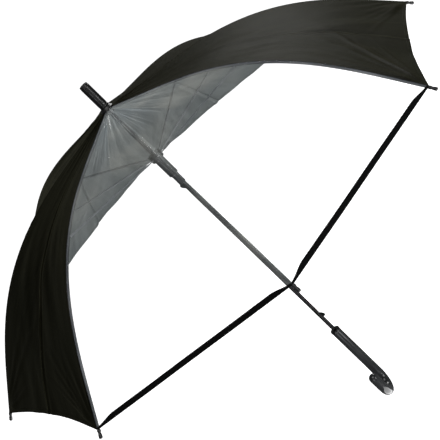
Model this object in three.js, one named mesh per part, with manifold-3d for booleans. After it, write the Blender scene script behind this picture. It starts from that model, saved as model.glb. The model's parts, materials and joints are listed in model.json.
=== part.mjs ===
// Stick umbrella, open: a shallow dome of eight panels, six of black cloth and two of clear film,
// on eight ribs, with a sliding runner, eight stretchers, two catches and a J handle.
// Millimetres, +Z up the shaft. The origin is on the shaft's axis, 60 mm below the straight grip's top.
// Rib 1 points to -Y, and the two clear panels lie on either side of it.

import * as THREE from 'three';
import { mergeVertices } from 'three/addons/utils/BufferGeometryUtils.js';
import Module from 'manifold-3d';

const wasm = await Module();
wasm.setup();

// Driving dimensions
const GAP = 0.3;                    // air between pieces that touch
const RIBS = 8;
const PANEL_ANGLE = (2 * Math.PI) / RIBS;
const FOLD = THREE.MathUtils.degToRad(60);

const SHAFT_RADIUS = 4;
const SHAFT_WALL = 0.6;

const NOTCH_Z = 677;                // height of the ribs' pivots
const NOTCH_PIVOT_RADIUS = 8;
const WIRE_RADIUS = 0.6;

const RIB_LENGTH = 609;
const RIB_SLOPE_TOP = 8.5;          // degrees below level, at the notch
const RIB_SLOPE_RIM = 47.7;         // degrees below level, at the tip
const RIB_BEND_FROM = 0.14;         // the bend lies between these shares of the length
const RIB_BEND_TO = 0.9;
const RIB_WIDTH = 3.2;
const RIB_DEPTH = 3.2;
const BLADE_WIDTH = 1.6;            // flattened ends of ribs and stretchers
const BLADE_LENGTH = 8;

const ELBOW_AT = 0.4465;            // share of the rib's length where the stretcher is pinned
const ELBOW_DROP = 2.5;             // pivot's distance below the rib's centre line
const PIN_RADIUS = 0.9;

const RUNNER_PIVOT_RADIUS = 11;
const FOOT_RADIUS = 0.9;            // rounded end of the stretcher's foot
const RUNNER_CROWN_RADIUS = 13.2;
const RUNNER_BODY_RADIUS = 9.4;
const RUNNER_NECK_RADIUS = 7;
const RUNNER_BORE = SHAFT_RADIUS + 0.4;
const RUNNER_CROWN = 13;            // height of the slotted crown
const RUNNER_BODY = 53;             // from the crown's top to the end of the wide body
const RUNNER_LENGTH = 76;

const CLOTH = 0.5;                  // panel thickness
const PANEL_LIFT = 1.3;             // air over the rib, because the panel falls away on both sides
const HEM_SETBACK = 15;             // from the rib tip's end back to the panel's corner
const BLACK_HEM_DIP = 12;           // how far a black panel's hem curves in at its middle
const TAPE_WIDTH = 10;
const STRAP_RIB = 5;                // the strap lies beside the back rib
const STRAP_FROM = 0.7;
const STRAP_TO = 0.93;
const STRAP_WIDTH = 18;
const STRAP_INSET = 14;             // from the rib to the strap's near edge
const STRAP_THICK = 0.8;
const STRAP_LIFT = 1.2;
const STUD_AT = 0.9;
const TIP_RADIUS = 3.2;
const TIP_NOSE = 5;                 // solid end of the tip, past the rib's end

const HANDLE_TOP = 60;
const HANDLE_RADIUS = 9.5;
const HANDLE_STRAIGHT = 129;
const HOOK_RADIUS = 25;
const HOOK_RISE = 26;               // straight end of the hook, past the half turn
const HOOK_TURN = THREE.MathUtils.degToRad(-107.5); // the way the hook points, in plan
const FERRULE_TOP = 740;
const FERRULE_LOW = 686.5;
const FERRULE_RADIUS = 8.9;
const CAP_RADIUS = 13.3;

// Materials
function finish(color, roughness, metalness, opacity = 1) {
  const transparent = opacity < 1;
  return new THREE.MeshStandardMaterial({ color, roughness, metalness, opacity, transparent });
}

const blackSteel = () => finish(0x17181a, 0.3, 0.85);
const ribSteel = () => finish(0x2b2d31, 0.35, 0.8);
const brightWire = () => finish(0xb9bcc0, 0.25, 0.95);
const blackPlastic = () => finish(0x121213, 0.4, 0);
const glossPlastic = () => finish(0x1d1e20, 0.12, 0);
const blackCloth = () => finish(0x23231f, 0.75, 0);
const blackTape = () => finish(0x0e0e0e, 0.7, 0);
const clearFilm = () => finish(0xeef2f4, 0.08, 0, 0.25);

// Solids
function toSolid(geometry) {
  const plain = geometry.clone();
  plain.deleteAttribute('normal');
  plain.deleteAttribute('uv');
  const merged = mergeVertices(plain, 1e-4);
  return new wasm.Manifold(new wasm.Mesh({
    numProp: 3,
    vertProperties: new Float32Array(merged.attributes.position.array),
    triVerts: new Uint32Array(merged.index.array),
  }));
}

function toGeometry(solid) {
  const mesh = solid.getMesh();
  const geometry = new THREE.BufferGeometry();
  geometry.setAttribute('position', new THREE.BufferAttribute(mesh.vertProperties, 3));
  geometry.setIndex(new THREE.BufferAttribute(mesh.triVerts, 1));
  return geometry;
}

function build(added, cut = []) {
  let solid = toSolid(added[0]);
  for (const geometry of added.slice(1)) {
    solid = solid.add(toSolid(geometry));
  }
  for (const geometry of cut) {
    solid = solid.subtract(toSolid(geometry));
  }
  return toGeometry(solid);
}

// A ring or turned piece about the Z axis, from a closed outline of [radius, height] points
function turned(outline, segments = 20) {
  const profile = outline.map(([radius, height]) => new THREE.Vector2(radius, height));
  profile.push(profile[0].clone());
  return new THREE.LatheGeometry(profile, segments).rotateX(Math.PI / 2);
}

function ring(inner, outer, low, high, segments = 20) {
  return turned([[inner, low], [outer, low], [outer, high], [inner, high]], segments);
}

// A plate with its outline in the radial plane: x is the radius and y is the height
function plate(points, width, centre = 0) {
  const shape = new THREE.Shape(points);
  return new THREE.ExtrudeGeometry(shape, { depth: width, bevelEnabled: false })
    .translate(0, 0, -width / 2 - centre)
    .rotateX(Math.PI / 2);
}

function disc(radius, width, r, z, segments = 10) {
  return new THREE.CylinderGeometry(radius, radius, width, segments).translate(r, 0, z);
}

function box(x0, x1, y0, y1, z0, z1) {
  return new THREE.BoxGeometry(x1 - x0, y1 - y0, z1 - z0)
    .translate((x0 + x1) / 2, (y0 + y1) / 2, (z0 + z1) / 2);
}

// The rib's centre line in the radial plane, from its slope at each step of its length
function ribCentreLine() {
  const steps = 200;
  const points = [new THREE.Vector2(NOTCH_PIVOT_RADIUS, NOTCH_Z)];
  for (let i = 0; i < steps; i++) {
    const bend = THREE.MathUtils.smoothstep((i + 0.5) / steps, RIB_BEND_FROM, RIB_BEND_TO);
    const slope = THREE.MathUtils.degToRad(THREE.MathUtils.lerp(RIB_SLOPE_TOP, RIB_SLOPE_RIM, bend));
    const step = new THREE.Vector2(Math.cos(slope), -Math.sin(slope)).multiplyScalar(RIB_LENGTH / steps);
    points.push(points[i].clone().add(step));
  }
  return points;
}

const ribLine = ribCentreLine();

// The point at a share of the rib's length, moved out from the centre line by an offset
function ribPoint(share, offset = 0) {
  const at = THREE.MathUtils.clamp(share, 0, 1) * (ribLine.length - 1);
  const i = Math.min(Math.floor(at), ribLine.length - 2);
  const point = ribLine[i].clone().lerp(ribLine[i + 1], at - i);
  const along = ribLine[i + 1].clone().sub(ribLine[i]).normalize();
  return point.add(new THREE.Vector2(-along.y, along.x).multiplyScalar(offset));
}

function ribBar(from, to, width, steps) {
  const top = [];
  const under = [];
  for (let i = 0; i <= steps; i++) {
    const share = THREE.MathUtils.lerp(from, to, i / steps);
    top.push(ribPoint(share, RIB_DEPTH / 2));
    under.unshift(ribPoint(share, -RIB_DEPTH / 2));
  }
  return plate([...under, ...top], width);
}

// The linkage. The elbow is the stretcher's pivot on the rib. The stretcher's foot stops just outside
// the runner's wire at both ends of the fold, so its line is the rib's line less a short leaning step.
const elbow = ribPoint(ELBOW_AT, -ELBOW_DROP);
const footRadius = RUNNER_PIVOT_RADIUS + WIRE_RADIUS + GAP + FOOT_RADIUS;
const footStep = (footRadius - NOTCH_PIVOT_RADIUS) / Math.cos(FOLD / 2);
const foot = new THREE.Vector2(footRadius, 2 * elbow.y - NOTCH_Z - footStep * Math.sin(FOLD / 2));
const stretcherLength = elbow.distanceTo(foot);
const stretcherAngle = Math.atan2(elbow.y - foot.y, elbow.x - foot.x);

// How far the runner slides when the ribs fold
function runnerTravel() {
  const rib = elbow.clone().sub(new THREE.Vector2(NOTCH_PIVOT_RADIUS, NOTCH_Z));
  const strut = foot.clone().sub(elbow);
  const open = -(rib.y + strut.y);
  const folded = -(rib.rotateAround(new THREE.Vector2(), -FOLD).y
    + strut.rotateAround(new THREE.Vector2(), FOLD).y);
  return folded - open;
}

const TRAVEL = runnerTravel();
const crownTop = foot.y + RUNNER_CROWN / 2;
const crownLow = foot.y - RUNNER_CROWN / 2;
const bodyLow = crownTop - RUNNER_BODY;
const runnerLow = crownTop - RUNNER_LENGTH;

function rib() {
  const bladeEnd = BLADE_LENGTH / RIB_LENGTH;
  const added = [
    ribBar(bladeEnd, 1 - TIP_NOSE / RIB_LENGTH, RIB_WIDTH, 20),
    ribBar(0, bladeEnd * 1.2, BLADE_WIDTH, 2),
    disc(2.2, BLADE_WIDTH, NOTCH_PIVOT_RADIUS, NOTCH_Z),
    disc(2.6, RIB_WIDTH, elbow.x, elbow.y),
  ];
  const cut = [
    disc(WIRE_RADIUS + GAP, 10, NOTCH_PIVOT_RADIUS, NOTCH_Z),
    disc(PIN_RADIUS + GAP, 10, elbow.x, elbow.y),
  ];
  return build(added, cut);
}

// Built along +X from the elbow, then turned and placed
function stretcher() {
  const half = 1.3;
  const cheekWidth = 0.8;
  const cheekCentre = RIB_WIDTH / 2 + GAP + cheekWidth / 2;
  const forkWidth = 2 * cheekCentre + cheekWidth;
  const forkFrom = 13;
  const forkTo = 17;
  const footFrom = stretcherLength - 17;
  const strip = (from, to, tall) => [
    new THREE.Vector2(from, -tall), new THREE.Vector2(to, -tall),
    new THREE.Vector2(to, tall), new THREE.Vector2(from, tall),
  ];
  const added = [
    plate(strip(forkFrom, forkTo, half), forkWidth),
    plate(strip(forkTo - 1, footFrom, half), RIB_WIDTH),
    plate(strip(footFrom - 1, stretcherLength, FOOT_RADIUS), BLADE_WIDTH),
    disc(FOOT_RADIUS, BLADE_WIDTH, stretcherLength, 0),
    disc(PIN_RADIUS, forkWidth, 0, 0),
  ];
  for (const side of [-1, 1]) {
    const cheek = plate(strip(0, forkFrom + 1, 1.7), cheekWidth, side * cheekCentre);
    const end = disc(2.3, cheekWidth, 0, 0).translate(0, side * cheekCentre, 0);
    added.push(cheek, end);
  }
  return build(added);
}

function ribTip() {
  const length = HEM_SETBACK - 0.5;
  const bore = Math.hypot(RIB_WIDTH, RIB_DEPTH) / 2 + GAP;
  const outline = [
    [0, length], [TIP_RADIUS * 0.7, length - 0.3], [TIP_RADIUS, length - 2],
    [TIP_RADIUS, 0], [bore, 0], [bore, length - TIP_NOSE + GAP], [0, length - TIP_NOSE + GAP],
  ];
  const profile = outline.map(([radius, height]) => new THREE.Vector2(radius, height));
  return new THREE.LatheGeometry(profile.reverse(), 10);
}

// A slotted hub: eight radial slots and a groove for its wire
function hub(blank, pivotRadius, pivotZ, slotFrom) {
  const slotWidth = BLADE_WIDTH + 0.8;
  const cut = [new THREE.TorusGeometry(pivotRadius, WIRE_RADIUS + GAP, 6, 24).translate(0, 0, pivotZ)];
  for (let k = 0; k < RIBS; k++) {
    cut.push(box(slotFrom, pivotRadius + 8, -slotWidth / 2, slotWidth / 2, pivotZ - 9, pivotZ + 9)
      .rotateZ(k * PANEL_ANGLE));
  }
  return build([blank], cut);
}

function wire(radius, z) {
  return new THREE.TorusGeometry(radius, WIRE_RADIUS, 5, 24).translate(0, 0, z);
}

function notch() {
  const blank = ring(SHAFT_RADIUS + GAP, 10.4, NOTCH_Z - 5.5, NOTCH_Z + 2.5, 24);
  return hub(blank, NOTCH_PIVOT_RADIUS, NOTCH_Z, 5.4);
}

// Catches: a flat spring in the tube, with a finger through a slot. The ledge is at the finger's end.
const CATCH_LEVER = 28;
const CATCH_REACH = 9;
const CATCH_WIDTH = 1.6;
const UPPER_LEDGE = runnerLow - 0.5;
const LOWER_LEDGE = 100.4;

function catchSpring() {
  const points = [
    [1.8, 0], [3, 0], [3, 15], [CATCH_REACH - 2, 20], [CATCH_REACH, CATCH_LEVER - 4],
    [CATCH_REACH, CATCH_LEVER - 1.5], [CATCH_REACH - 1.5, CATCH_LEVER], [1.8, CATCH_LEVER],
  ].map(([x, z]) => new THREE.Vector2(x, z));
  return build([plate(points, CATCH_WIDTH), disc(2.7, CATCH_WIDTH, 0, 0)]);
}

// The slot that a catch's finger needs in a tube, from its ledge back along its slope
function catchSlot(side, ledge, back, reach) {
  const half = CATCH_WIDTH / 2 + 0.4;
  const xs = [side * 2, side * reach].sort((a, b) => a - b);
  const zs = [ledge + back * -0.5, ledge + back * 20].sort((a, b) => a - b);
  return box(xs[0], xs[1], -half, half, zs[0], zs[1]);
}

function runner() {
  const blank = turned([
    [RUNNER_BORE, runnerLow], [RUNNER_NECK_RADIUS, runnerLow], [RUNNER_NECK_RADIUS, bodyLow - 1.5],
    [RUNNER_BODY_RADIUS, bodyLow], [RUNNER_BODY_RADIUS, crownLow - 1.5],
    [RUNNER_CROWN_RADIUS, crownLow], [RUNNER_CROWN_RADIUS, crownTop], [RUNNER_BORE, crownTop],
  ], 24);
  const slotted = hub(blank, RUNNER_PIVOT_RADIUS, foot.y, RUNNER_BODY_RADIUS + 0.3);
  const window = catchSlot(1, LOWER_LEDGE + TRAVEL, 1, RUNNER_BODY_RADIUS + 3);
  return build([slotted], [window]);
}

const STOP_PIN_Z = crownTop + 3.5;

function shaft() {
  const inner = SHAFT_RADIUS - SHAFT_WALL;
  const tube = ring(inner, SHAFT_RADIUS, HANDLE_TOP - 30, FERRULE_TOP - 18);
  const pinHole = new THREE.CylinderGeometry(1.3, 1.3, 12, 12).translate(0, 0, STOP_PIN_Z);
  return build([tube], [
    catchSlot(-1, UPPER_LEDGE, -1, 12),
    catchSlot(1, LOWER_LEDGE, 1, 12),
    pinHole,
  ]);
}

function stopPin() {
  return new THREE.CylinderGeometry(1, 1, 11, 12).translate(0, 0, STOP_PIN_Z);
}

function ferrule() {
  const bore = SHAFT_RADIUS + GAP;
  return turned([
    [bore, FERRULE_LOW], [FERRULE_RADIUS, FERRULE_LOW], [FERRULE_RADIUS, FERRULE_TOP - 1],
    [FERRULE_RADIUS - 1, FERRULE_TOP], [0, FERRULE_TOP],
    [0, FERRULE_TOP - 16], [bore, FERRULE_TOP - 16],
  ], 24);
}

function canopyCap() {
  const bore = SHAFT_RADIUS + GAP;
  const low = NOTCH_Z + 3;
  const top = FERRULE_LOW - GAP;
  return turned([
    [bore, low], [CAP_RADIUS, low], [CAP_RADIUS, low + 1.5], [CAP_RADIUS - 2, low + 3.5],
    [FERRULE_RADIUS + 0.8, top], [bore, top],
  ], 24);
}

// J handle: a round bar along a straight grip, a half turn and a short rise, with a domed end
function handle() {
  const bendZ = HANDLE_TOP - HANDLE_STRAIGHT;
  const route = new THREE.CurvePath();
  route.add(new THREE.LineCurve3(new THREE.Vector3(0, 0, HANDLE_TOP), new THREE.Vector3(0, 0, bendZ)));
  route.add(new HookCurve(bendZ));
  const end = new THREE.Vector3(2 * HOOK_RADIUS, 0, bendZ + HOOK_RISE);
  route.add(new THREE.LineCurve3(new THREE.Vector3(2 * HOOK_RADIUS, 0, bendZ), end));
  const section = new THREE.Shape();
  section.absarc(0, 0, HANDLE_RADIUS, 0, 2 * Math.PI);
  const bar = new THREE.ExtrudeGeometry(section, { steps: 32, curveSegments: 7, extrudePath: route });
  const dome = new THREE.SphereGeometry(HANDLE_RADIUS * 0.99, 14, 8).translate(end.x, end.y, end.z);
  const socket = new THREE.CylinderGeometry(SHAFT_RADIUS + GAP, SHAFT_RADIUS + GAP, 70, 20)
    .rotateX(Math.PI / 2)
    .translate(0, 0, HANDLE_TOP);
  return build([bar, dome], [socket]).rotateZ(HOOK_TURN);
}

class HookCurve extends THREE.Curve {
  constructor(bendZ) {
    super();
    this.bendZ = bendZ;
  }

  getPoint(t, target = new THREE.Vector3()) {
    const angle = Math.PI * t;
    const x = HOOK_RADIUS * (1 - Math.cos(angle));
    return target.set(x, 0, this.bendZ - HOOK_RADIUS * Math.sin(angle));
  }
}

function handleCollar() {
  return ring(SHAFT_RADIUS + GAP, HANDLE_RADIUS + 0.4, HANDLE_TOP + GAP, HANDLE_TOP + 5, 24);
}

// A sheet bent from a flat box: it runs from the hub or hem side (u), from a rib to the panel's
// middle (v), and through its thickness (w). side is 1 for the half after a rib, -1 for the half before.
function sheet(side, along, across, place) {
  const geometry = new THREE.BoxGeometry(1, 1, 1, along, across, 1).translate(0.5, 0.5, 0.5);
  const position = geometry.attributes.position;
  for (let i = 0; i < position.count; i++) {
    const w = position.getZ(i);
    const point = place(position.getX(i), position.getY(i), side > 0 ? w : 1 - w);
    position.setXYZ(i, point.x, side * point.y, point.z);
  }
  return geometry;
}

// A point of the panel: straight across between neighbouring ribs
function panelPoint(share, across, offset) {
  const line = ribPoint(share, offset);
  const here = new THREE.Vector3(line.x, 0, line.y);
  const next = new THREE.Vector3(line.x * Math.cos(PANEL_ANGLE), line.x * Math.sin(PANEL_ANGLE), line.y);
  const margin = 0.2 / line.x;
  return here.lerp(next, THREE.MathUtils.clamp(across / 2, margin, 0.5 - margin));
}

const PANEL_FROM = 3.2 / RIB_LENGTH;
const PANEL_TO = 1 - HEM_SETBACK / RIB_LENGTH;
const PANEL_UNDER = RIB_DEPTH / 2 + PANEL_LIFT;

function halfPanel(side, dip) {
  return sheet(side, 13, 2, (u, v, w) => {
    const hem = PANEL_TO - (dip / RIB_LENGTH) * v * (2 - v);
    return panelPoint(THREE.MathUtils.lerp(PANEL_FROM, hem, u), v, PANEL_UNDER + CLOTH * w);
  });
}

function halfTape(side) {
  const from = PANEL_TO - TAPE_WIDTH / RIB_LENGTH;
  const under = PANEL_UNDER + CLOTH + GAP;
  return sheet(side, 1, 1, (u, v, w) => {
    return panelPoint(THREE.MathUtils.lerp(from, PANEL_TO, u), v, under + CLOTH * w);
  });
}

// The strap that ties the furled canopy lies flat on the back panel, near the hem
function strapPoint(share, fromRib, lift) {
  const across = fromRib / (ribPoint(share).x * Math.sin(PANEL_ANGLE / 2));
  return panelPoint(share, across, PANEL_UNDER + CLOTH + STRAP_LIFT + lift);
}

function closureStrap() {
  return sheet(1, 6, 1, (u, v, w) => {
    const share = THREE.MathUtils.lerp(STRAP_FROM, STRAP_TO, u);
    return strapPoint(share, STRAP_INSET + v * STRAP_WIDTH, STRAP_THICK * w);
  });
}

// The stud's rim faces out of the panel's middle
function addStrapStud(spoke) {
  const seat = strapPoint(STUD_AT, STRAP_INSET + STRAP_WIDTH / 2, STRAP_THICK + GAP);
  const inner = ribPoint(STUD_AT - 0.01);
  const outer = ribPoint(STUD_AT + 0.01);
  const lean = Math.atan2(inner.y - outer.y, outer.x - inner.x);
  const out = new THREE.Vector3(Math.sin(lean), 0, Math.cos(lean))
    .applyAxisAngle(new THREE.Vector3(0, 0, 1), PANEL_ANGLE / 2);
  const stud = add('strap_stud', new THREE.CylinderGeometry(4.5, 4.5, 1.6, 16), blackPlastic(), spoke);
  stud.position.copy(seat).addScaledVector(out, 1.2);
  stud.quaternion.setFromUnitVectors(new THREE.Vector3(0, 1, 0), out);
}

// Assembly
const umbrella = new THREE.Group();

function add(name, geometry, material, parent = umbrella) {
  const mesh = new THREE.Mesh(geometry, material);
  mesh.name = name;
  parent.add(mesh);
  return mesh;
}

add('shaft', shaft(), blackSteel());
add('ferrule', ferrule(), blackPlastic());
add('canopy_cap', canopyCap(), blackPlastic());
add('top_notch', notch(), blackPlastic());
add('notch_wire', wire(NOTCH_PIVOT_RADIUS, NOTCH_Z), brightWire());
add('stop_pin', stopPin(), blackSteel());
add('handle', handle(), glossPlastic());
add('handle_collar', handleCollar(), blackPlastic());
add('runner', runner(), blackPlastic());
add('runner_wire', wire(RUNNER_PIVOT_RADIUS, foot.y), brightWire());

const upperCatch = add('upper_catch', catchSpring(), blackSteel());
upperCatch.position.z = UPPER_LEDGE - CATCH_LEVER;
upperCatch.rotation.z = Math.PI;
const lowerCatch = add('lower_catch', catchSpring(), blackSteel());
lowerCatch.position.z = LOWER_LEDGE + CATCH_LEVER;
lowerCatch.rotation.x = Math.PI;

const ribShape = rib();
const stretcherShape = stretcher();
const tipShape = ribTip();
const isClear = (panel) => panel === 1 || panel === RIBS;

function addHalfPanel(panel, half, side, spoke) {
  const clear = isClear(panel);
  const name = `${clear ? 'clear' : 'black'}_panel_${panel}_${half}`;
  add(name, halfPanel(side, clear ? 0 : BLACK_HEM_DIP), clear ? clearFilm() : blackCloth(), spoke);
  if (clear) {
    add(`hem_tape_${panel}_${half}`, halfTape(side), blackTape(), spoke);
  }
}

for (let k = 1; k <= RIBS; k++) {
  const spoke = new THREE.Group();
  spoke.rotation.z = (k - 1) * PANEL_ANGLE - Math.PI / 2;
  umbrella.add(spoke);

  add(`rib_${k}`, ribShape, ribSteel(), spoke);

  const strut = add(`stretcher_${k}`, stretcherShape, ribSteel(), spoke);
  strut.position.set(elbow.x, 0, elbow.y);
  strut.rotation.y = Math.PI - stretcherAngle;

  const tipBase = ribPoint(PANEL_TO + 0.5 / RIB_LENGTH);
  const tipEnd = ribPoint(1);
  const tip = add(`rib_tip_${k}`, tipShape, blackPlastic(), spoke);
  tip.position.set(tipBase.x, 0, tipBase.y);
  tip.quaternion.setFromUnitVectors(
    new THREE.Vector3(0, 1, 0),
    new THREE.Vector3(tipEnd.x - tipBase.x, 0, tipEnd.y - tipBase.y).normalize(),
  );

  addHalfPanel(k, 'left', 1, spoke);
  addHalfPanel(k === 1 ? RIBS : k - 1, 'right', -1, spoke);

  if (k === STRAP_RIB) {
    add('closure_strap', closureStrap(), blackTape(), spoke);
    addStrapStud(spoke);
  }
}

export default umbrella;
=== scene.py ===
import json
import math

import bmesh
import bpy
from mathutils import Matrix, Vector, noise


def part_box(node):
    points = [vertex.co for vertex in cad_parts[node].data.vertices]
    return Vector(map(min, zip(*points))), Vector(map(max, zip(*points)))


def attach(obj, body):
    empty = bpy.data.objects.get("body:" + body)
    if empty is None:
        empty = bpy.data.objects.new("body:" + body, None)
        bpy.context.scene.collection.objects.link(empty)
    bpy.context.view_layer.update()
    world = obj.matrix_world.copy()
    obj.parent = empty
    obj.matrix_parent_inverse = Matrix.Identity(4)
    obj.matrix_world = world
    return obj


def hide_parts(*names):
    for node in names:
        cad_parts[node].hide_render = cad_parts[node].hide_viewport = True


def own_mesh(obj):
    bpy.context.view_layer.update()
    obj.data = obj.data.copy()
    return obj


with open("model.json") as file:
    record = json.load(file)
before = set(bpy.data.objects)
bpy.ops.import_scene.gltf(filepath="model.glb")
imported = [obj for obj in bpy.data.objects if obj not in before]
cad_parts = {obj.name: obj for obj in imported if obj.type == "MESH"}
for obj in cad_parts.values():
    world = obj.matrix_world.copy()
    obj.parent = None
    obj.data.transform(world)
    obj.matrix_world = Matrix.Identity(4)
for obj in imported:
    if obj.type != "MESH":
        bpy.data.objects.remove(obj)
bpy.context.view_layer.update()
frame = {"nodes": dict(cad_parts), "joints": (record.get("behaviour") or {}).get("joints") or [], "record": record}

# Metres. The umbrella stands upright, rib 1 points to -Y and the clear panels lie beside it.
MM = 0.001
RIBS = 8
PANEL_ANGLE = 2 * math.pi / RIBS
STRAP_RIB = 5

joints = {joint["name"]: joint for joint in frame["joints"]}
NOTCH = Vector(joints["rib_3_fold"]["pos_m"])
FERRULE_LOW, FERRULE_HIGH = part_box("ferrule")
CAP_LOW, CAP_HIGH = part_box("canopy_cap")
SHAFT_LOW, SHAFT_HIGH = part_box("shaft")
RUNNER_LOW, RUNNER_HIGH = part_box("runner")
COLLAR_LOW, COLLAR_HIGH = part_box("handle_collar")
SHAFT_RADIUS = SHAFT_HIGH.x
NOTCH_RADIUS = math.hypot(NOTCH.x, NOTCH.y)

# Radians that each rib folds for a metre of the runner's travel
RUNNER_RATIO = next(coupling["ratio"] for coupling in frame["record"]["behaviour"]["couplings"]
                    if coupling["joint"] == "rib_1_fold")
RIB_FOLD = math.radians(60)

# The rib's centre line falls away from the notch at a slope that grows along its length
RIB_LENGTH = 609 * MM
RIB_SLOPES = (math.radians(8.5), math.radians(47.7))
RIB_BEND = (0.14, 0.9)
RIB_DEPTH = 3.2 * MM
# Shares of the rib's length where the canopy ends, at the hem and at the hub
RIM = 1 - 15 * MM / RIB_LENGTH
HUB = 3.2 * MM / RIB_LENGTH

# The canopy: its height over a rib, how far each black hem curves in, and the sheets' thicknesses
PANEL_LIFT = RIB_DEPTH / 2 + 0.6 * MM
HEM_DIPS = {2: 13 * MM, 3: 12 * MM, 4: 1 * MM, 5: 7 * MM, 6: 12 * MM, 7: 12 * MM}
CLOTH_THICK = 0.3 * MM
FILM_THICK = 0.2 * MM
TAPE_WIDTH = 10 * MM
TAPE_THICK = 1.3 * MM
STRAP_THICK = 1.0 * MM
HEM_FOLD_WIDTH = 7 * MM
HEM_FOLD_THICK = 1.0 * MM


def smoothstep(value, low=0.0, high=1.0):
    t = min(max((value - low) / (high - low), 0.0), 1.0)
    return t * t * (3 - 2 * t)


def rib_centre_line(steps=400):
    points = [(NOTCH_RADIUS, NOTCH.z)]
    for i in range(steps):
        bend = smoothstep((i + 0.5) / steps, *RIB_BEND)
        slope = RIB_SLOPES[0] + (RIB_SLOPES[1] - RIB_SLOPES[0]) * bend
        radius, height = points[-1]
        length = RIB_LENGTH / steps
        points.append((radius + math.cos(slope) * length, height - math.sin(slope) * length))
    return points


RIB_LINE = rib_centre_line()


def rib_point(share, lift=0.0):
    """Radius and height at a share of the rib's length, lifted square to the rib."""
    at = min(max(share, 0.0), 1.0) * (len(RIB_LINE) - 1)
    i = min(int(at), len(RIB_LINE) - 2)
    (r0, z0), (r1, z1) = RIB_LINE[i], RIB_LINE[i + 1]
    length = math.hypot(r1 - r0, z1 - z0)
    normal = (-(z1 - z0) / length, (r1 - r0) / length)
    t = at - i
    return r0 + (r1 - r0) * t + normal[0] * lift, z0 + (z1 - z0) * t + normal[1] * lift


def half_width(share):
    """From a rib to the middle of its panel, straight across, at a share of the rib's length."""
    return rib_point(share)[0] * math.sin(PANEL_ANGLE / 2)


def azimuth(rib):
    return (rib - 1) * PANEL_ANGLE - math.pi / 2


def spoke(rib):
    """Turns the plane of +X and Z to a rib's own plane."""
    return Matrix.Rotation(azimuth(rib), 4, "Z")


# ---------------------------------------------------------------- materials

def linear(hex_colour):
    """sRGB hex to linear RGBA."""
    def channel(value):
        c = value / 255
        return c / 12.92 if c <= 0.04045 else ((c + 0.055) / 1.055) ** 2.4
    value = int(hex_colour.lstrip("#"), 16)
    return (channel(value >> 16), channel(value >> 8 & 255), channel(value & 255), 1.0)


def add_node(tree, kind, inputs=None, **settings):
    """A node with its settings; an input that is a socket is linked and any other is set."""
    node = tree.nodes.new(kind)
    for name, value in settings.items():
        setattr(node, name, value)
    for name, value in (inputs or {}).items():
        if isinstance(value, bpy.types.NodeSocket):
            tree.links.new(value, node.inputs[name])
        else:
            node.inputs[name].default_value = value
    return node


def new_material(name):
    material = bpy.data.materials.new(name)
    material.use_nodes = True
    tree = material.node_tree
    return material, tree, tree.nodes["Principled BSDF"]


def colour_ramp(tree, factor, low, high, low_at=0.3, high_at=0.7):
    ramp = add_node(tree, "ShaderNodeValToRGB", {"Fac": factor})
    ramp.color_ramp.elements[0].position = low_at
    ramp.color_ramp.elements[0].color = linear(low)
    ramp.color_ramp.elements[1].position = high_at
    ramp.color_ramp.elements[1].color = linear(high)
    return ramp.outputs["Color"]


def wave_scale(pitch):
    """The Wave Texture's scale that puts its bands one pitch apart."""
    return 2 * math.pi / (20 * pitch)


def woven_cloth(name, dark, light, specular, sheen, sheen_tint):
    """Polyester pongee: a tight plain weave.
    The real threads are about 0.2 mm apart; they are drawn 1.4 mm apart so that they show."""
    material, tree, shader = new_material(name)
    thread = 1.4 * MM
    uv = add_node(tree, "ShaderNodeUVMap", uv_map="weave").outputs["UV"]
    waves = []
    for direction in ("X", "Y"):
        wave = add_node(tree, "ShaderNodeTexWave", {
            "Vector": uv, "Scale": wave_scale(thread), "Distortion": 0.6, "Detail": 1.0,
        }, bands_direction=direction)
        waves.append(wave.outputs["Fac"])
    weave = add_node(tree, "ShaderNodeMath", {0: waves[0], 1: waves[1]}, operation="MULTIPLY")
    stretch = add_node(tree, "ShaderNodeMapping", {"Vector": uv, "Scale": (4.0, 60.0, 1.0)})
    streaks = add_node(tree, "ShaderNodeTexNoise", {
        "Vector": stretch.outputs["Vector"], "Scale": 1.0, "Detail": 4.0, "Roughness": 0.6})
    shade = add_node(tree, "ShaderNodeMath", {
        0: weave.outputs[0], 1: 0.25, 2: streaks.outputs["Fac"]}, operation="MULTIPLY_ADD")
    tree.links.new(colour_ramp(tree, shade.outputs[0], dark, light, 0.3, 0.85),
                   shader.inputs["Base Color"])
    fine = add_node(tree, "ShaderNodeBump", {
        "Height": weave.outputs[0], "Strength": 0.3, "Distance": 0.15 * MM})
    bump = add_node(tree, "ShaderNodeBump", {
        "Height": streaks.outputs["Fac"], "Strength": 0.35, "Distance": 1.2 * MM,
        "Normal": fine.outputs["Normal"]})
    tree.links.new(bump.outputs["Normal"], shader.inputs["Normal"])
    shader.inputs["Roughness"].default_value = 0.5
    shader.inputs["Specular IOR Level"].default_value = specular
    shader.inputs["Specular Tint"].default_value = linear(sheen_tint)
    shader.inputs["Sheen Weight"].default_value = sheen
    shader.inputs["Sheen Roughness"].default_value = 0.45
    shader.inputs["Sheen Tint"].default_value = linear(sheen_tint)
    return material


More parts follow.
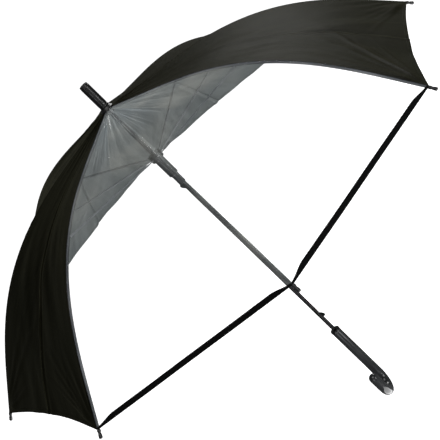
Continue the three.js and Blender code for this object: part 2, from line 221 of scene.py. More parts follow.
def clear_film(name, clearest, haziest, shade, light):
    """Clear soft film: it hides nothing white and greys what is black behind it. Handling has left
    long faint streaks, where the film scatters more light. Where it is gathered at the hub it is hazier,
    and the bright lines of its creases are painted in there as rays of haze."""
    material, tree, shader = new_material(name)
    uv = add_node(tree, "ShaderNodeUVMap", uv_map="weave").outputs["UV"]
    stretch = add_node(tree, "ShaderNodeMapping", {"Vector": uv, "Scale": (7.0, 45.0, 1.0)})
    streaks = add_node(tree, "ShaderNodeTexNoise", {
        "Vector": stretch.outputs["Vector"], "Scale": 1.0, "Detail": 5.0, "Roughness": 0.65})
    clouds = add_node(tree, "ShaderNodeTexNoise", {"Vector": uv, "Scale": 7.0, "Detail": 2.0})
    haze = add_node(tree, "ShaderNodeMath", {
        0: streaks.outputs["Fac"], 1: clouds.outputs["Fac"]}, operation="MULTIPLY")
    alpha = add_node(tree, "ShaderNodeMapRange", {
        "Value": haze.outputs[0], "From Min": 0.18, "From Max": 0.42, "To Min": clearest, "To Max": haziest})
    place = add_node(tree, "ShaderNodeSeparateXYZ", {"Vector": uv})
    bearing = add_node(tree, "ShaderNodeMath", {
        0: place.outputs["Y"], 1: place.outputs["X"]}, operation="DIVIDE")
    # the film is gathered at the hub and hazier there; the bright lines of its creases are painted as haze that
    # fans out from there in narrow rays
    fan = add_node(tree, "ShaderNodeMath", {0: bearing.outputs[0], 1: 34.0}, operation="MULTIPLY")
    fan_place = add_node(tree, "ShaderNodeCombineXYZ", {"X": fan.outputs[0], "Y": place.outputs["X"]})
    fan_noise = add_node(tree, "ShaderNodeTexNoise", {
        "Vector": fan_place.outputs["Vector"], "Scale": 1.6, "Detail": 3.0, "Roughness": 0.7})
    crease_highlight_rays = add_node(tree, "ShaderNodeMapRange", {
        "Value": fan_noise.outputs["Fac"], "From Min": 0.48, "From Max": 0.7, "To Min": 0.0, "To Max": 0.42})
    gathered = add_node(tree, "ShaderNodeMapRange", {
        "Value": place.outputs["X"], "From Min": 0.0, "From Max": 230 * MM, "To Min": 1.0, "To Max": 0.0},
        interpolation_type="SMOOTHSTEP")
    hub_haze = add_node(tree, "ShaderNodeMath", {
        0: gathered.outputs["Result"], 1: 0.07, 2: alpha.outputs["Result"]}, operation="MULTIPLY_ADD")
    hazy = add_node(tree, "ShaderNodeMath", {
        0: crease_highlight_rays.outputs["Result"], 1: gathered.outputs["Result"], 2: hub_haze.outputs[0]},
        operation="MULTIPLY_ADD")
    tree.links.new(hazy.outputs[0], shader.inputs["Alpha"])
    tree.links.new(colour_ramp(tree, clouds.outputs["Fac"], shade, light, 0.35, 0.65),
                   shader.inputs["Base Color"])
    bump = add_node(tree, "ShaderNodeBump", {
        "Height": streaks.outputs["Fac"], "Strength": 0.5, "Distance": 0.8 * MM})
    tree.links.new(bump.outputs["Normal"], shader.inputs["Normal"])
    shader.inputs["Roughness"].default_value = 0.16
    shader.inputs["IOR"].default_value = 1.5
    return material


def binding_tape():
    """Black woven binding: coarse cords across its width and no shine.
    Real cords are about 0.5 mm apart; they are drawn 1.6 mm apart so that they show."""
    material, tree, shader = new_material("woven_binding_tape_black")
    uv = add_node(tree, "ShaderNodeUVMap", uv_map="weave").outputs["UV"]
    cords = add_node(tree, "ShaderNodeTexWave", {
        "Vector": uv, "Scale": wave_scale(1.6 * MM), "Distortion": 0.4}, bands_direction="Y")
    tree.links.new(colour_ramp(tree, cords.outputs["Fac"], "#020202", "#080808", 0.2, 0.9),
                   shader.inputs["Base Color"])
    bump = add_node(tree, "ShaderNodeBump", {
        "Height": cords.outputs["Fac"], "Strength": 0.4, "Distance": 0.2 * MM})
    tree.links.new(bump.outputs["Normal"], shader.inputs["Normal"])
    shader.inputs["Roughness"].default_value = 0.75
    shader.inputs["Specular IOR Level"].default_value = 0.08
    return material


def moulded(name, dark, light, roughness, grain, depth):
    """Moulded plastic: the tool's surface leaves a faint grain, and handling dulls it in patches."""
    material, tree, shader = new_material(name)
    place = add_node(tree, "ShaderNodeTexCoord").outputs["Object"]
    fine = add_node(tree, "ShaderNodeTexNoise", {"Vector": place, "Scale": 1 / grain, "Detail": 3.0})
    patches = add_node(tree, "ShaderNodeTexNoise", {"Vector": place, "Scale": 22.0, "Detail": 2.0})
    tree.links.new(colour_ramp(tree, patches.outputs["Fac"], dark, light), shader.inputs["Base Color"])
    dull = add_node(tree, "ShaderNodeMapRange", {
        "Value": patches.outputs["Fac"], "From Min": 0.3, "From Max": 0.7,
        "To Min": roughness * 0.8, "To Max": roughness * 1.25})
    tree.links.new(dull.outputs["Result"], shader.inputs["Roughness"])
    bump = add_node(tree, "ShaderNodeBump", {
        "Height": fine.outputs["Fac"], "Strength": 0.3, "Distance": depth})
    tree.links.new(bump.outputs["Normal"], shader.inputs["Normal"])
    shader.inputs["IOR"].default_value = 1.5
    return material


def coated_steel(name, dark, light, roughness, metallic, specular=0.5):
    """Rolled steel with a thin dark coat: long fine draw lines and small worn patches."""
    material, tree, shader = new_material(name)
    place = add_node(tree, "ShaderNodeTexCoord").outputs["Object"]
    stretch = add_node(tree, "ShaderNodeMapping", {"Vector": place, "Scale": (600.0, 600.0, 20.0)})
    lines = add_node(tree, "ShaderNodeTexNoise", {
        "Vector": stretch.outputs["Vector"], "Scale": 1.0, "Detail": 2.0})
    patches = add_node(tree, "ShaderNodeTexNoise", {"Vector": place, "Scale": 40.0, "Detail": 3.0})
    tree.links.new(colour_ramp(tree, patches.outputs["Fac"], dark, light), shader.inputs["Base Color"])
    rough = add_node(tree, "ShaderNodeMapRange", {
        "Value": lines.outputs["Fac"], "From Min": 0.3, "From Max": 0.7,
        "To Min": roughness * 0.75, "To Max": roughness * 1.3})
    tree.links.new(rough.outputs["Result"], shader.inputs["Roughness"])
    shader.inputs["Metallic"].default_value = metallic
    shader.inputs["Specular IOR Level"].default_value = specular
    return material


# Woven polyester: black with a faint olive sheen where light grazes it
PONGEE = woven_cloth("woven_polyester_pongee_black", "#020201", "#12120b", 0.028, 0.04, "#e6e4ac")
# The same cloth's back, painted grey for the light that shines through the thin cloth from behind; it shows no
# sheen
BACK_PAINTED_LIGHT = woven_cloth("pongee_back_painted_through_light", "#2f3333", "#424746", 0.15, 0.0, "#ffffff")
# Calendered film: nearly clear, and glossy enough to catch a streak of light
FILM = clear_film("calendered_clear_film", 0.03, 0.12, "#c6d0d5", "#e2e4dd")
# Two and three layers of it in a seam: a milky grey line beside the black cloth
LAPPED = clear_film("lapped_clear_film_seam", 0.08, 0.2, "#80858f", "#a3a7b0")
TAPE = binding_tape()
# Moulded ABS from a finely eroded tool: a soft, wide highlight
SATIN = moulded("moulded_abs_satin_black", "#050505", "#0c0c0d", 0.34, 0.7 * MM, 0.05 * MM)
# ABS from a polished tool, black: on the handle its colour is lifted to dark grey as a painted reflection of the
# bright room, on its collar it stays black; both show mirror-like streaks
GLOSS = moulded("polished_abs_grip_black", "#222324", "#2c2d2e", 0.08, 4.0 * MM, 0.02 * MM)
POLISHED = moulded("polished_abs_collar_black", "#060606", "#0c0c0d", 0.12, 4.0 * MM, 0.01 * MM)
# Rolled steel tube, lacquered: black with one thin bright line down each side
COATED = coated_steel("lacquered_steel_tube_black", "#040404", "#090909", 0.16, 0.0, 0.3)
# Rolled steel channel, blackened: nearly black with a weak broad shine
BLACKENED = coated_steel("rolled_steel_blackened", "#161717", "#232424", 0.35, 0.0, 0.2)
# Rolled steel, phosphated: an even dull grey
PHOSPHATED = coated_steel("rolled_steel_phosphated_grey", "#4e5153", "#616467", 0.6, 0.0)
# Drawn steel wire, uncoated: bright grey metal
BRIGHT = coated_steel("drawn_steel_wire", "#55575a", "#6a6c70", 0.3, 1.0)


# ---------------------------------------------------------------- mesh helpers

def soften(bm, crease=math.radians(32)):
    """Smooth faces with sharp edges where the surface really turns."""
    for face in bm.faces:
        face.smooth = True
    for edge in bm.edges:
        if len(edge.link_faces) == 2:
            edge.smooth = edge.calc_face_angle(0.0) < crease


def link_object(name, bm, material=None):
    """Turns a bmesh into an object of the scene, with its place in its mesh."""
    mesh = bpy.data.meshes.new(name)
    bm.to_mesh(mesh)
    bm.free()
    if material:
        mesh.materials.append(material)
    obj = bpy.data.objects.new(name, mesh)
    bpy.context.scene.collection.objects.link(obj)
    return obj


def piece(name, bm, material, body, slot, replaces=()):
    """A finished piece in its material: it rides a CAD body and may stand for CAD nodes."""
    soften(bm)
    obj = link_object(name, bm, material)
    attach(obj, body)
    if replaces:
        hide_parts(*replaces)
    return obj


def turned(outline, steps=64):
    """A turned piece about Z from a closed outline of (radius, height)."""
    bm = bmesh.new()
    verts = [bm.verts.new((radius, 0, height)) for radius, height in outline]
    edges = [bm.edges.new((a, b)) for a, b in zip(verts, verts[1:])]
    if outline[0][0] > 0 or outline[-1][0] > 0:
        edges.append(bm.edges.new((verts[-1], verts[0])))
    bmesh.ops.spin(bm, geom=verts + edges, cent=(0, 0, 0), axis=(0, 0, 1), angle=2 * math.pi,
                   steps=steps, use_merge=True)
    bmesh.ops.remove_doubles(bm, verts=bm.verts, dist=0.01 * MM)
    bmesh.ops.recalc_face_normals(bm, faces=bm.faces)
    return bm


def rounded(corners, radius, steps=4):
    """A closed outline with each corner rounded by a small arc."""
    points = []
    count = len(corners)
    for i in range(count):
        before, here, after = (Vector(corners[(i + k) % count]) for k in (-1, 0, 1))
        if here.x < 0.01 * MM:
            points.append(tuple(here))
            continue
        cut = min(radius, (before - here).length * 0.45, (after - here).length * 0.45)
        start = here + (before - here).normalized() * cut
        end = here + (after - here).normalized() * cut
        for k in range(steps + 1):
            t = k / steps
            point = start.lerp(here, t).lerp(here.lerp(end, t), t)
            points.append(tuple(point))
    return points


def surface(along, across, place, weave):
    """A grid laid on a surface: place(u, v) gives a point and weave(u, v) its cloth coordinates."""
    bm = bmesh.new()
    bmesh.ops.create_grid(bm, x_segments=along, y_segments=across, size=0.5)
    layer = bm.loops.layers.uv.new("weave")
    spots = {vert: (vert.co.x + 0.5, vert.co.y + 0.5) for vert in bm.verts}
    for face in bm.faces:
        for loop in face.loops:
            loop[layer].uv = weave(*spots[loop.vert])
    for vert, (u, v) in spots.items():
        vert.co = place(u, v)
    return bm


def surface_area(bm):
    return sum(face.calc_area() for face in bm.faces)


def thicken(obj, thickness, inner_material=0):
    """Gives a sheet its thickness; its inner face may take the next material."""
    solid = obj.modifiers.new("thickness", "SOLIDIFY")
    solid.thickness = thickness
    solid.offset = 0
    solid.material_offset = inner_material
    solid.use_even_offset = True


def soft_edge(obj, width):
    bevel = obj.modifiers.new("soft_edge", "BEVEL")
    bevel.width = width
    bevel.segments = 2


# ---------------------------------------------------------------- canopy

# Panel k lies between rib k and the next one. Each half of it rides on its own rib: side is 1 for the
# half after a rib, which is its panel's left half, and -1 for the half before it.

def panel_beside(rib, side):
    return rib if side > 0 else (rib - 2) % RIBS + 1


def half_of(side):
    return "left" if side > 0 else "right"


def is_clear(panel):
    return panel in (1, RIBS)


def panel_name(panel, half):
    kind = "clear" if is_clear(panel) else "black"
    return f"{kind}_panel_{panel}_{half}"


def across_point(share, across, lift):
    """A point in the rib's own plane and beside it: across runs from 0 at the rib to 1 at the
    panel's middle, straight towards the next rib."""
    radius, height = rib_point(share, lift)
    here = Vector((radius, 0, height))
    there = Vector((radius * math.cos(PANEL_ANGLE), radius * math.sin(PANEL_ANGLE), height))
    return here.lerp(there, across / 2)


def outward(share, across):
    """The panel's outward direction, square to its straight lines across."""
    (r0, z0), (r1, z1) = rib_point(share - 0.004), rib_point(share + 0.004)
    lean = math.atan2(z0 - z1, r1 - r0)
    turn = PANEL_ANGLE / 2
    level = Vector((math.cos(turn), math.sin(turn), 0))
    return (level * math.sin(lean) + Vector((0, 0, math.cos(lean)))).normalized()


def ridge(distance, width):
    return math.exp(-(distance / width) ** 2)


def crease_set(panel):
    """Creases that fan out from the hub: (place across, strength, reach, width) for each."""
    creases = []
    for i in range(7):
        seed = Vector((panel * 3.7, i * 1.9, 0.5))
        place = -0.84 + 0.28 * i + 0.2 * noise.noise(seed)
        strength = 0.35 + 1.1 * abs(noise.noise(seed * 1.7))
        reach = 0.16 + 0.32 * abs(noise.noise(seed * 2.3))
        creases.append((place, strength, reach, 0.05 + 0.07 * abs(noise.noise(seed * 3.1))))
    return creases


def drawn_lines(panel):
    """Lines that the pull of each rib tip draws in the cloth: (slope, strength, reach) for each."""
    lines = []
    for side in (-1, 1):
        for i in range(7):
            seed = Vector((panel * 5.3 + side, i * 2.7, 4.5))
            slope = 0.35 + 0.75 * i + 0.5 * noise.noise(seed)
            strength = 0.4 + 1.3 * abs(noise.noise(seed * 1.9))
            reach = 0.16 + 0.34 * abs(noise.noise(seed * 2.9))
            lines.append((side, slope, strength, reach))
    return lines


CREASES = {panel: crease_set(panel) for panel in range(1, RIBS + 1)}
DRAWN = {panel: drawn_lines(panel) for panel in range(1, RIBS + 1)}


def relief(panel, share, t):
    """How far a panel stands off its straight lines. t runs from -1 at its left rib to 1 at its right."""
    clear = is_clear(panel)
    slack = 1 - t * t
    reach_across = half_width(share)
    from_rib = (1 - abs(t)) * reach_across
    height = 0.0
    for place, strength, reach, width in CREASES[panel]:
        fade = math.exp(-(share / reach) ** 2) * smoothstep(share, 0.0, 0.06)
        height += (1.9 if clear else 1.3) * MM * strength * fade * ridge(t - place, width)
    for side, slope, strength, reach in DRAWN[panel]:
        away = (1 - side * t) * reach_across
        down = (RIM - share) * RIB_LENGTH
        line = away - slope * 0.42 * down
        from_tip = math.hypot(down, away)
        fade = math.exp(-(from_tip / (reach * 0.5)) ** 2) * smoothstep(from_tip, 12 * MM, 45 * MM)
        fade *= smoothstep(away, 0, 6 * MM)
        width = 4.5 * MM + 0.05 * down
        height += (0.5 if clear else 3.6) * MM * strength * fade * ridge(line, width)
    # the fold that the panel keeps down its middle from being furled
    wander = 0.03 * noise.noise(Vector((share * 7.0, panel * 1.3, 7.0)))
    fold = ridge(t - wander, 0.02) - 0.8 * ridge(t - wander - 0.035, 0.03)
    height += (0.25 if clear else 1.3) * MM * fold * smoothstep(share, 0.1, 0.5)
    # puckers along the seams
    along = share * RIB_LENGTH / (11 * MM) + 3 * noise.noise(Vector((share * 9, panel + 0.5 * t, 1.0)))
    pucker = math.sin(along * math.pi) * abs(noise.noise(Vector((share * 6.0, panel * 4.0 + t, 2.0))))
    seam = ridge(from_rib, 9 * MM)
    height += (0.5 if clear else 0.9) * MM * pucker * seam * smoothstep(from_rib, 0, 3 * MM)
    # slack cloth
    seed = Vector((share * 4.0, t * 1.4, panel * 2.1))
    height += (2.2 if clear else 4.5) * MM * slack * noise.noise(seed) * smoothstep(share, 0.05, 0.3)
    if not clear:
        seed = Vector((share * 6.0 + 0.6 * t, t * 4.5 - 4.0 * share, panel * 3.3))
        height += 2.2 * MM * slack * noise.noise(seed) * smoothstep(share, 0.2, 0.6)
    # the panel pulls in a little between its ribs
    return height - 6.0 * MM * slack * math.sin(math.pi * share)


def cloth_place(rib, side, dip, lift):
    """Gives place(u, v) for the half panel on one side of a rib. side is 1 after it and -1 before it."""
    panel = panel_beside(rib, side)
    turn = spoke(rib)

    def place(u, v):
        hem = RIM - dip / RIB_LENGTH * v * (2 - v)
        share = HUB + (hem - HUB) * u
        t = v - 1 if side > 0 else 1 - v
        point = across_point(share, v, lift) + outward(share, v) * relief(panel, share, t)
        point.y *= side
        return turn @ point

    return place


def cloth_weave(side):
    """Cloth coordinates in metres: down the panel from the hub, and across it from its rib."""
    def weave(u, v):
        down = u + 0.001
        return down * RIB_LENGTH, side * v * down * RIB_LENGTH * math.sin(PANEL_ANGLE / 2)

    return weave


def half_surface(along, across, place, weave, side):
    """A grid on a half panel, with its faces outwards, and its area."""
    bm = surface(along, across, place, weave)
    if side < 0:
        bmesh.ops.reverse_faces(bm, faces=bm.faces)
    return bm, surface_area(bm)


def fold_away(obj):
    """Gives a piece its own copy of its mesh."""
    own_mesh(obj)


def half_panel(rib, side):
    """Half a gore: one curved sheet of cloth or film, sewn to its rib."""
    panel = panel_beside(rib, side)
    clear = is_clear(panel)
    node = panel_name(panel, half_of(side))
    cloth = cloth_place(rib, side, HEM_DIPS.get(panel, 0.0), PANEL_LIFT)
    bm, area = half_surface(170, 60, cloth, cloth_weave(side), side)
    material, slot = (FILM, "clear_film") if clear else (PONGEE, "black_cloth")
    obj = piece(node.replace("panel", "gore"), bm, material, f"rib_{rib}", slot, [node])
    if not clear:
        # the inner face takes the back painted grey for light shining through the cloth
        obj.data.materials.append(BACK_PAINTED_LIGHT)
    thicken(obj, FILM_THICK if clear else CLOTH_THICK, inner_material=0 if clear else 1)
    fold_away(obj)


def hem_strip(rib, side, name, material, slot, strip_width, thickness, narrowed, replaces=()):
    """A strip folded round a hem, narrowed to a share of its width at the rib tip."""
    cloth = cloth_place(rib, side, HEM_DIPS.get(panel_beside(rib, side), 0.0), PANEL_LIFT)
    reach = half_width(RIM)

    def place(u, v):
        from_tip = v * reach
        width = strip_width * (narrowed + (1 - narrowed) * smoothstep(from_tip, 0, 38 * MM))
        share = 1 - width * (1 - u) / ((RIM - HUB) * RIB_LENGTH)
        return cloth(share + 0.6 * MM / RIB_LENGTH, v)

    bm, area = half_surface(8, 90, place, lambda u, v: (u * strip_width, v * reach), side)
    obj = piece(name, bm, material, f"rib_{rib}", slot, replaces)
    if material is PONGEE:
        # the inner face takes the back painted grey for light shining through the cloth
        obj.data.materials.append(BACK_PAINTED_LIGHT)
    thicken(obj, thickness, inner_material=1 if material is PONGEE else 0)
    soft_edge(obj, thickness * 0.35)
    fold_away(obj)
    return obj, area


def hem_tape(rib, side):
    """Binding on the straight hem of a clear panel, pleated where it is sewn to the rib tip."""
    place = f"{panel_beside(rib, side)}_{half_of(side)}"
    obj, area = hem_strip(rib, side, f"binding_{place}", TAPE, "black_tape", TAPE_WIDTH, TAPE_THICK, 0.42,
                          [f"hem_tape_{place}"])


def hem_fold(rib, side):
    """The black cloth's own hem, turned under twice."""
    name = f"hem_fold_{panel_beside(rib, side)}_{half_of(side)}"
    return hem_strip(rib, side, name, PONGEE, "black_cloth", HEM_FOLD_WIDTH, HEM_FOLD_THICK, 0.4)[0]


def seam_strip(rib, side, width, material, slot):
    """A seam allowance lapped over a rib: more layers of film, or the black binding of the seam."""
    cloth = cloth_place(rib, side, 0.0, PANEL_LIFT + 0.35 * MM)

    def place(u, v):
        return cloth(u, min(width * v / half_width(HUB + (RIM - HUB) * u), 0.95))

    bm, _ = half_surface(110, 4, place, lambda u, v: (u * RIB_LENGTH + 0.3, v * width), side)
    obj = piece(f"seam_strip_{rib}_{half_of(side)}", bm, material, f"rib_{rib}", slot)
    thicken(obj, FILM_THICK)
    fold_away(obj)
    return obj


# Each seam allowance beside the film, by rib and side: its width, material and slot
SEAMS = {
    (1, 1): (6 * MM, FILM, "clear_film"), (1, -1): (2 * MM, FILM, "clear_film"),
    (2, -1): (4.5 * MM, LAPPED, "clear_film"), (RIBS, 1): (4.5 * MM, LAPPED, "clear_film"),
    (2, 1): (2.5 * MM, TAPE, "black_tape"), (RIBS, -1): (1.5 * MM, TAPE, "black_tape"),
}

for rib in range(1, RIBS + 1):
    for side in (1, -1):
        clear = is_clear(panel_beside(rib, side))
        strips = [] if clear else [hem_fold(rib, side)]
        if (rib, side) in SEAMS:
            strips.append(seam_strip(rib, side, *SEAMS[rib, side]))
        half_panel(rib, side)
        if clear:
            hem_tape(rib, side)

# ---------------------------------------------------------------- closure strap

def closure_strap():
    """A strap sewn to the back gore's hem end, that goes round the furled canopy to its press stud."""
    starts, ends = 0.70, 0.93
    inset, width = 14 * MM, 18 * MM
    cloth = cloth_place(STRAP_RIB, 1, 0.0, PANEL_LIFT + 1.5 * MM)

    def place(u, v):
        end_round = 6 * MM * (2 * v - 1) ** 4 / RIB_LENGTH
        share = starts + end_round + (ends - starts - end_round) * u
        return cloth((share - HUB) / (RIM - HUB), (inset + width * v) / half_width(share))

    length = (ends - starts) * RIB_LENGTH
    bm, area = half_surface(60, 10, place, lambda u, v: (u * length, v * width), 1)
    obj = piece("closure_strap_sewn", bm, TAPE, f"rib_{STRAP_RIB}", "black_tape", ["closure_strap"])
    thicken(obj, STRAP_THICK)
    soft_edge(obj, 0.3 * MM)
    fold_away(obj)


closure_strap()

# ---------------------------------------------------------------- hard parts

HANDLE_RADIUS = COLLAR_HIGH.x - 0.4 * MM
HANDLE_TOP = COLLAR_LOW.z - 0.3 * MM
HANDLE_EDGE = 1.2 * MM
HOOK_BEND = HANDLE_TOP - 129 * MM
HOOK_RADIUS = 25 * MM
HOOK_RISE = 26 * MM
HOOK_TURN = math.radians(-107.5)
BORE = SHAFT_RADIUS + 0.3 * MM
SLOT_HALF = 1.2 * MM


def grip():
    """The J handle: a ring drawn down the straight grip, spun round the hook and up to a domed end."""
    bm = bmesh.new()
    ring = bmesh.ops.create_circle(bm, segments=48, radius=HANDLE_RADIUS - HANDLE_EDGE,
                                   matrix=Matrix.Translation((0, 0, HANDLE_TOP)))["verts"]
    top = bm.faces.new(ring)
    edges = list(top.edges)

    def draw(move, grow=1.0, centre=None):
        nonlocal edges
        made = bmesh.ops.extrude_edge_only(bm, edges=edges)["geom"]
        verts = [item for item in made if isinstance(item, bmesh.types.BMVert)]
        bmesh.ops.translate(bm, verts=verts, vec=move)
        if grow != 1.0:
            middle = sum((vert.co for vert in verts), Vector()) / len(verts)
            bmesh.ops.scale(bm, verts=verts, vec=(grow, grow, grow), space=Matrix.Translation(-middle))
        edges = [item for item in made if isinstance(item, bmesh.types.BMEdge)]

    for angle in (22.5, 45, 67.5, 90):
        before, after = math.radians(angle - 22.5), math.radians(angle)
        radius = [HANDLE_RADIUS - HANDLE_EDGE * (1 - math.sin(a)) for a in (before, after)]
        draw((0, 0, -HANDLE_EDGE * (math.cos(before) - math.cos(after))), radius[1] / radius[0])
    straight_steps = 24
    for _ in range(straight_steps):
        draw((0, 0, (HOOK_BEND - HANDLE_TOP + HANDLE_EDGE) / straight_steps))
    spun = bmesh.ops.spin(bm, geom=edges, cent=(HOOK_RADIUS, 0, HOOK_BEND), axis=(0, 1, 0),
                          angle=-math.pi, steps=48)["geom_last"]
    edges = [item for item in spun if isinstance(item, bmesh.types.BMEdge)]
    rise_steps = 6
    for _ in range(rise_steps):
        draw((0, 0, HOOK_RISE / rise_steps))
    dome_steps = 10
    for k in range(dome_steps - 1):
        before, after = (math.pi / 2 * (k + i) / dome_steps for i in (0, 1))
        draw((0, 0, HANDLE_RADIUS * (math.sin(after) - math.sin(before))), math.cos(after) / math.cos(before))
    bmesh.ops.contextual_create(bm, geom=edges)
    bmesh.ops.rotate(bm, verts=bm.verts, cent=(0, 0, 0), matrix=Matrix.Rotation(HOOK_TURN, 3, "Z"))
    bmesh.ops.recalc_face_normals(bm, faces=bm.faces)
    piece("grip_polished", bm, GLOSS, "root", "handle_plastic", ["handle"])


def carved(obj, cutters):
    """Cuts closed shapes out of a piece and applies the result."""
    for cutter in cutters:
        cut = obj.modifiers.new("cut", "BOOLEAN")
        cut.operation = "DIFFERENCE"
        cut.solver = "EXACT"
        cut.object = cutter
    bpy.context.view_layer.update()
    graph = bpy.context.evaluated_depsgraph_get()
    mesh = bpy.data.meshes.new_from_object(obj.evaluated_get(graph))
    obj.modifiers.clear()
    obj.data = mesh
    for cutter in cutters:
        bpy.data.objects.remove(cutter)


def cutter_block(low, high, turn=0.0):
    """A block between two corners, turned about Z, to cut with."""
    low, high = Vector(low), Vector(high)
    bm = bmesh.new()
    bmesh.ops.create_cube(bm, size=1.0, matrix=Matrix.Rotation(turn, 4, "Z")
                          @ Matrix.Translation((low + high) / 2) @ Matrix.Diagonal((*(high - low), 1)))
    return link_object("cutter", bm)


# Each catch turns about a pivot this far from its ledge
CATCH_LEVER = 28 * MM
UPPER_LEDGE = joints["upper_catch_press"]["pos_m"][2] + CATCH_LEVER
LOWER_LEDGE = joints["lower_catch_press"]["pos_m"][2] - CATCH_LEVER


def shaft_tube():
    """The lacquered tube, slotted for its two catches."""
    inner = SHAFT_RADIUS - 0.6 * MM
    low, high = SHAFT_LOW.z, SHAFT_HIGH.z
    bm = turned([(inner, low), (SHAFT_RADIUS, low), (SHAFT_RADIUS, high), (inner, high)], 48)
    obj = piece("shaft_tube", bm, COATED, "root", "shaft_steel", ["shaft"])
    carved(obj, [
        cutter_block((-12 * MM, -SLOT_HALF, UPPER_LEDGE - 20 * MM),
                     (-2 * MM, SLOT_HALF, UPPER_LEDGE + 0.5 * MM)),
        cutter_block((2 * MM, -SLOT_HALF, LOWER_LEDGE - 0.5 * MM),
                     (12 * MM, SLOT_HALF, LOWER_LEDGE + 20 * MM)),
    ])


def runner_sleeve():
    """The runner: a slotted crown for the stretchers' feet, a wide body and a narrow neck."""
    bore, neck, body, crown = SHAFT_RADIUS + 0.4 * MM, 7 * MM, 9.4 * MM, RUNNER_HIGH.x
    top, low = RUNNER_HIGH.z, RUNNER_LOW.z
    crown_low, body_low = top - 13 * MM, top - 53 * MM
    grooves = []
    for k in range(5):
        at = body_low + (5 + 3 * k) * MM
        floor = body - 0.5 * MM
        grooves += [(body, at), (floor, at + 0.4 * MM), (floor, at + 1.1 * MM), (body, at + 1.5 * MM)]
    corners = [(bore, low), (neck, low), (neck, body_low - 1.5 * MM), (body, body_low), *grooves,
               (body, crown_low - 1.5 * MM), (crown, crown_low), (crown, top), (bore, top)]
    outline = rounded(corners, 0.7 * MM, 3)
    obj = piece("runner_sleeve", turned(outline, 72), SATIN, "runner", "black_plastic", ["runner"])
    pivot = top - 6.5 * MM
    cutters = [cutter_block((9.7 * MM, -SLOT_HALF, pivot - 9 * MM), (20 * MM, SLOT_HALF, pivot + 9 * MM),
                            azimuth(rib)) for rib in range(1, RIBS + 1)]
    travel = RIB_FOLD / abs(RUNNER_RATIO)
    window = LOWER_LEDGE + travel
    cutters.append(cutter_block((2 * MM, -SLOT_HALF, window - 0.5 * MM),
                                (12.4 * MM, SLOT_HALF, window + 20 * MM)))
    carved(obj, cutters)


def turned_parts():
    """The ferrule, the cap on the canopy and the collar on the grip."""
    radius, low, high = FERRULE_HIGH.x, FERRULE_LOW.z, FERRULE_HIGH.z
    outline = [(0, low), (radius, low), (radius, low + 3 * MM), (radius - 0.5 * MM, low + 3.5 * MM),
               (radius - 0.5 * MM, low + 4.3 * MM), (radius, low + 4.8 * MM), (radius, high - 4 * MM),
               (radius - 0.4 * MM, high - 3.6 * MM), (radius - 0.4 * MM, high), (0, high)]
    piece("ferrule_turned", turned(rounded(outline, 0.9 * MM)), SATIN, "root", "black_plastic", ["ferrule"])
    radius, low, high = CAP_HIGH.x, CAP_LOW.z, CAP_HIGH.z
    outline = [(BORE, low), (radius, low), (radius, low + 1.5 * MM), (radius - 2 * MM, low + 3.5 * MM),
               (FERRULE_HIGH.x + 0.8 * MM, high), (BORE, high)]
    piece("cap_turned", turned(rounded(outline, 0.8 * MM)), SATIN, "root", "black_plastic", ["canopy_cap"])
    radius, low, high = COLLAR_HIGH.x, COLLAR_LOW.z, COLLAR_HIGH.z
    outline = [(BORE, low), (radius, low), (radius, high), (BORE, high)]
    piece("collar_turned", turned(rounded(outline, 1.2 * MM)), POLISHED, "root", "black_plastic",
          ["handle_collar"])


def channel(bm, place, outline, steps):
    """A bar of one section: place(u, x, y) puts a corner of the outline at a share u of its length."""
    count = len(outline)

    def corner(u, v):
        return place(u, *outline[round(v * count) % count])

    made = surface(steps, count, corner, lambda u, v: (u, v))
    bmesh.ops.remove_doubles(made, verts=made.verts, dist=0.01 * MM)
    bmesh.ops.holes_fill(made, edges=[edge for edge in made.edges if edge.is_boundary])
    bmesh.ops.recalc_face_normals(made, faces=made.faces)
    mesh = bpy.data.meshes.new("bar")
    made.to_mesh(mesh)
    made.free()
    bm.from_mesh(mesh)
    bpy.data.meshes.remove(mesh)


def disc(bm, radius, width, place):
    """A flat disc about Y at a radius and height in the rib's plane."""
    turn = Matrix.Translation((place[0], 0, place[1])) @ Matrix.Rotation(math.pi / 2, 4, "X")
    bmesh.ops.create_cone(bm, cap_ends=True, segments=20, radius1=radius, radius2=radius, depth=width,
                          matrix=turn)


def folded_section(width, depth, wall):
    """A channel's section, open downwards, with its bent corners eased."""
    w, d, ease = width / 2, depth / 2, 0.35 * MM
    return [(-w, -d), (-w, d - ease), (-w + ease, d), (w - ease, d), (w, d - ease), (w, -d), (w - wall, -d),
            (w - wall, d - wall), (-w + wall, d - wall), (-w + wall, -d)]


def rib_channel(rib):
    """A rolled rib: a channel with its hub end pinched to a blade with an eye."""
    section = folded_section(RIB_DEPTH, RIB_DEPTH, 0.6 * MM)
    bm = bmesh.new()
    start, end = 1.6 * MM / RIB_LENGTH, 1 - 5 * MM / RIB_LENGTH

    def place(u, x, y):
        share = start + (end - start) * u
        pinch = 0.5 + 0.5 * smoothstep(share * RIB_LENGTH, 6 * MM, 11 * MM)
        radius, height = rib_point(share, y)
        return Vector((radius, x * pinch, height))

    channel(bm, place, section, 90)
    disc(bm, 2.2 * MM, 1.5 * MM, (NOTCH_RADIUS, NOTCH.z))
    elbow = joints[f"stretcher_{rib}_fold"]["pos_m"]
    disc(bm, 2.5 * MM, RIB_DEPTH, (math.hypot(elbow[0], elbow[1]), elbow[2]))
    bmesh.ops.rotate(bm, verts=bm.verts, cent=(0, 0, 0), matrix=spoke(rib).to_3x3())
    piece(f"rib_channel_{rib}", bm, BLACKENED, f"rib_{rib}", "rib_steel", [f"rib_{rib}"])


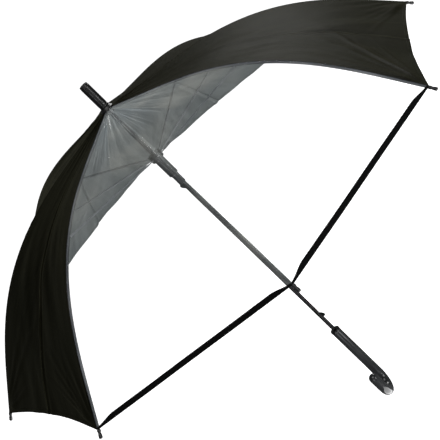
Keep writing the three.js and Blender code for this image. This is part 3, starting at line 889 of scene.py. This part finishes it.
def tip_cap(rib):
    """A moulded cap on a rib's end, with a waist where the canopy is tied."""
    length = 14.5 * MM
    corners = [(0, 0), (3.1 * MM, 0), (3.1 * MM, 3.6 * MM), (2.5 * MM, 4.6 * MM), (2.5 * MM, 6.4 * MM),
               (3.0 * MM, 7.6 * MM), (3.2 * MM, length - 1.6 * MM), (2.4 * MM, length), (0, length)]
    bm = turned(rounded(corners, 0.7 * MM, 3), 28)
    (r0, z0), (r1, z1) = rib_point(RIM), rib_point(1.0)
    facing = Vector((r1 - r0, 0, z1 - z0)).to_track_quat("Z", "Y").to_matrix().to_4x4()
    bmesh.ops.transform(bm, verts=bm.verts, matrix=spoke(rib) @ Matrix.Translation((r0, 0, z0)) @ facing)
    piece(f"tip_cap_{rib}", bm, SATIN, f"rib_{rib}", "black_plastic", [f"rib_tip_{rib}"])


def assign(material, *nodes):
    """Gives CAD nodes whose shape is kept their material."""
    for name in nodes:
        obj = frame["nodes"][name]
        obj.data.materials.clear()
        obj.data.materials.append(material)


grip()
shaft_tube()
runner_sleeve()
turned_parts()
for rib in range(1, RIBS + 1):
    rib_channel(rib)
    tip_cap(rib)
assign(PHOSPHATED, *[f"stretcher_{k}" for k in range(1, RIBS + 1)])
assign(BRIGHT, "notch_wire", "runner_wire")
assign(COATED, "upper_catch", "lower_catch", "stop_pin")
assign(SATIN, "top_notch", "strap_stud")


# ---------------------------------------------------------------- camera, floor and light

def add_camera():
    """The camera looks down on the canopy from the clear side, and is rolled so that the ferrule
    points up to the left."""
    elevation = math.radians(19.143)
    turn = math.radians(-0.447)
    roll = math.radians(-45.889)
    target = Vector((-0.0021, 0, 0.386))
    distance = 2.2913
    level = Vector((math.sin(turn), -math.cos(turn), 0))
    back = level * math.cos(elevation) + Vector((0, 0, math.sin(elevation)))
    right = Vector((math.cos(turn), math.sin(turn), 0))
    up = back.cross(right)
    x_axis = right * math.cos(roll) + up * math.sin(roll)
    y_axis = up * math.cos(roll) - right * math.sin(roll)
    camera = bpy.data.cameras.new("camera")
    camera.sensor_width = 36
    camera.lens = 102.3
    obj = bpy.data.objects.new("camera", camera)
    facing = Matrix((x_axis, y_axis, back)).transposed().to_4x4()
    obj.matrix_world = Matrix.Translation(target + back * distance) @ facing
    bpy.context.scene.collection.objects.link(obj)
    bpy.context.scene.camera = obj


def add_surroundings():
    """A white floor that runs up into a white dome. Neither lights the umbrella."""
    material, tree, shader = new_material("white_paper_sweep")
    shader.inputs["Base Color"].default_value = linear("#ffffff")
    shader.inputs["Roughness"].default_value = 1.0
    shader.inputs["Emission Color"].default_value = linear("#ffffff")
    shader.inputs["Emission Strength"].default_value = 1.0
    bm = bmesh.new()
    dome_radius, floor_height = 9.0, -0.75
    bmesh.ops.create_uvsphere(bm, u_segments=48, v_segments=24, radius=dome_radius)
    bmesh.ops.bisect_plane(bm, geom=bm.verts[:] + bm.edges[:] + bm.faces[:], plane_co=(0, 0, floor_height),
                           plane_no=(0, 0, 1), clear_inner=True)
    rim = [edge for edge in bm.edges if edge.is_boundary]
    bmesh.ops.contextual_create(bm, geom=rim)
    bmesh.ops.reverse_faces(bm, faces=bm.faces)
    obj = link_object("sweep", bm, material)
    obj.visible_diffuse = False
    obj.visible_glossy = False
    obj.visible_shadow = False


def add_light(name, place, size, power, tall=None, target=(0, 0, 0.45)):
    light = bpy.data.lights.new(name, "AREA")
    light.shape = "RECTANGLE" if tall else "DISK"
    light.size = size
    if tall:
        light.size_y = tall
    light.energy = power
    obj = bpy.data.objects.new(name, light)
    direction = Vector(target) - Vector(place)
    obj.matrix_world = Matrix.Translation(place) @ direction.to_track_quat("-Z", "Y").to_matrix().to_4x4()
    obj.visible_camera = False
    bpy.context.scene.collection.objects.link(obj)


def add_world():
    world = bpy.data.worlds.new("studio")
    world.use_nodes = True
    background = world.node_tree.nodes["Background"]
    background.inputs["Color"].default_value = linear("#f4f6f8")
    background.inputs["Strength"].default_value = 0.12
    bpy.context.scene.world = world


add_camera()
add_surroundings()
add_world()
# Each light's place and size in metres and its power in watts. The two strips are the shine on the handle.
add_light("key_behind", (2.0, 1.8, 2.3), 1.8, 70)
add_light("floor_bounce", (0.1, -0.35, -1.05), 2.0, 50)
add_light("front_fill", (1.9, -2.6, 0.5), 0.7, 10)
add_light("strip_right", (1.5, -2.0, -0.35), 0.16, 18, tall=1.7, target=(0, 0, 0))
add_light("strip_left", (-1.2, -2.2, -0.35), 0.3, 9, tall=1.7, target=(0, 0, 0))
add_light("front_top", (0.0, -2.0, 3.2), 2.4, 50)
bpy.context.scene.view_settings.view_transform = "Standard"
